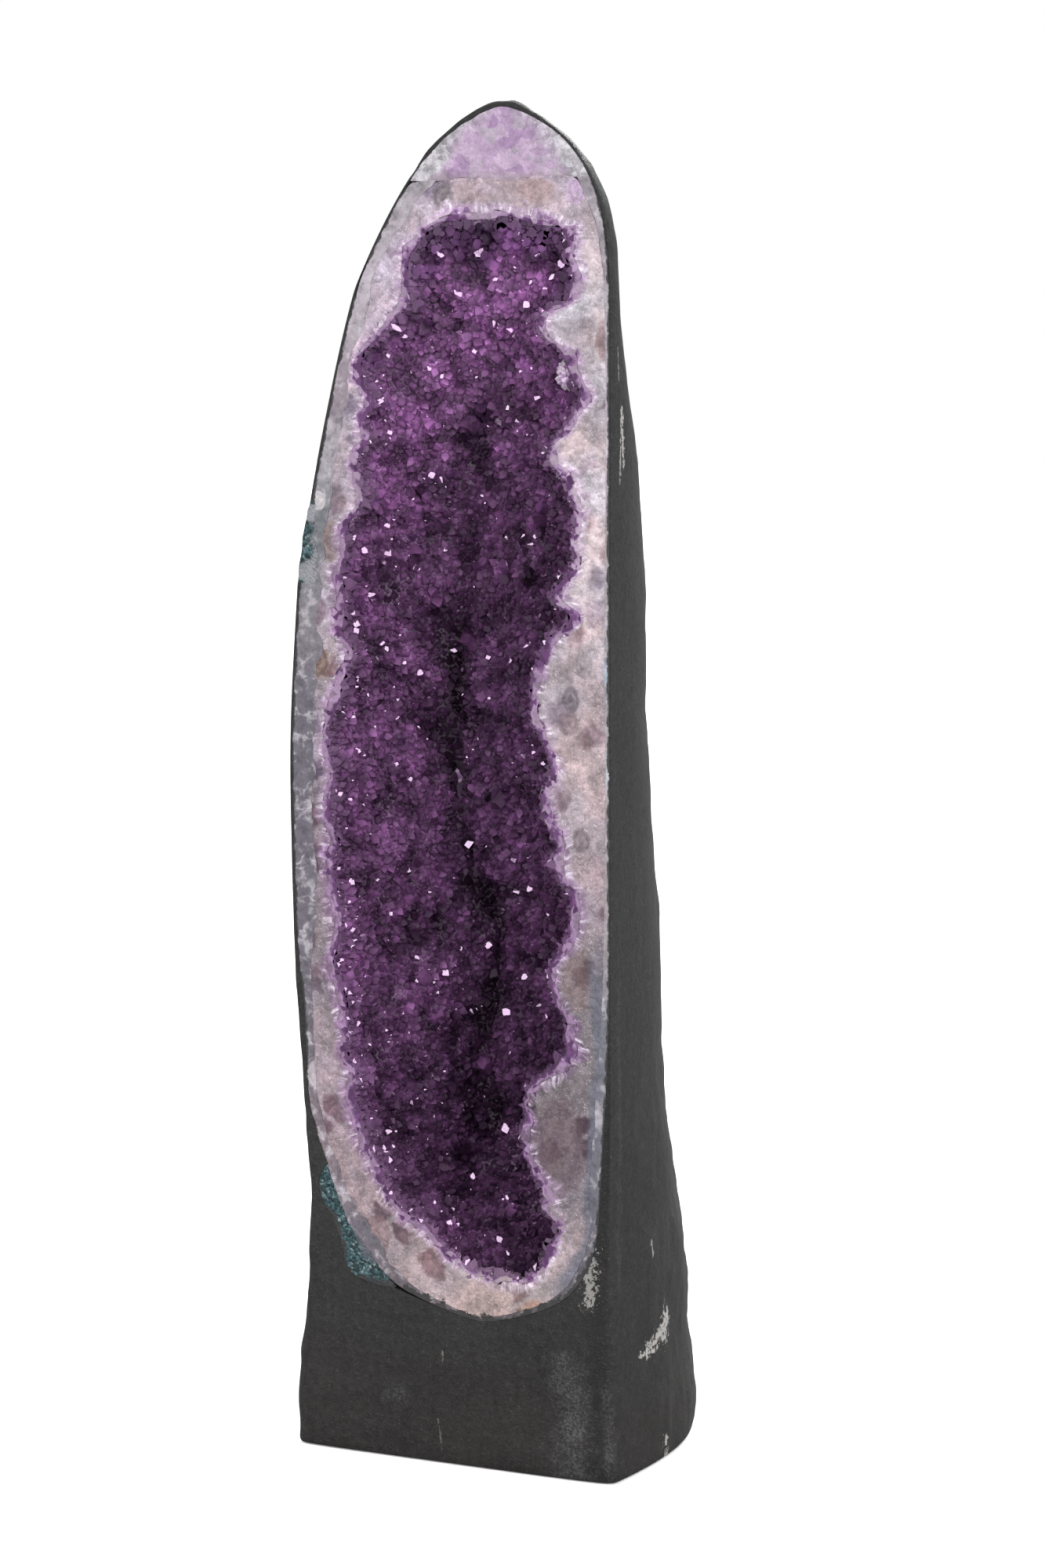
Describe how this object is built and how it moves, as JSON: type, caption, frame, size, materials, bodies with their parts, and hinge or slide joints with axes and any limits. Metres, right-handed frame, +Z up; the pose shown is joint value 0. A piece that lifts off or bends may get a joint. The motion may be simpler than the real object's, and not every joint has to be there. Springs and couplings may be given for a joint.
{
  "type": "amethyst cathedral geode",
  "caption": "Tall amethyst geode sawn open down its front, lined with purple crystals inside a pale agate and quartz rim, coated behind with dark painted cement that forms its standing foot.",
  "frame": {"origin": "on the floor, under the middle of the part's bounding box", "axes": "+Z up along the height of the geode, -Y out of the sawn face, +X to the right of someone facing it"},
  "size_m": [0.2484, 0.241, 0.901],
  "materials": {
    "painted_cement": "matte",
    "green_rind": "matte",
    "banded_agate": "satin",
    "pale_quartz": "satin",
    "lilac_quartz": "satin",
    "amethyst": "gloss"
  },
  "bodies": {
    "root": {"agate_band": "banded_agate", "amethyst_bed": "amethyst", "amethyst_point_01": "amethyst", "amethyst_point_02": "amethyst", "amethyst_point_03": "amethyst", "amethyst_point_04": "amethyst", "amethyst_point_05": "amethyst", "amethyst_point_06": "amethyst", "amethyst_point_07": "amethyst", "amethyst_point_08": "amethyst", "amethyst_point_09": "amethyst", "amethyst_point_10": "amethyst", "amethyst_point_11": "amethyst", "amethyst_point_12": "amethyst", "amethyst_point_13": "amethyst", "amethyst_point_14": "amethyst", "amethyst_point_15": "amethyst", "amethyst_point_16": "amethyst", "amethyst_point_17": "amethyst", "amethyst_point_18": "amethyst", "amethyst_point_19": "amethyst", "amethyst_point_20": "amethyst", "amethyst_point_21": "amethyst", "amethyst_point_22": "amethyst", "amethyst_point_23": "amethyst", "amethyst_point_24": "amethyst", "amethyst_point_25": "amethyst", "amethyst_point_26": "amethyst", "amethyst_point_27": "amethyst", "amethyst_point_28": "amethyst", "amethyst_point_29": "amethyst", "amethyst_point_30": "amethyst", "cement_coat_and_foot": "painted_cement", "green_rind_lower": "green_rind", "green_rind_upper": "green_rind", "lilac_quartz_tip": "lilac_quartz", "quartz_band": "pale_quartz", "quartz_knob_lower": "lilac_quartz", "quartz_knob_upper": "lilac_quartz"}
  },
  "joints": []
}
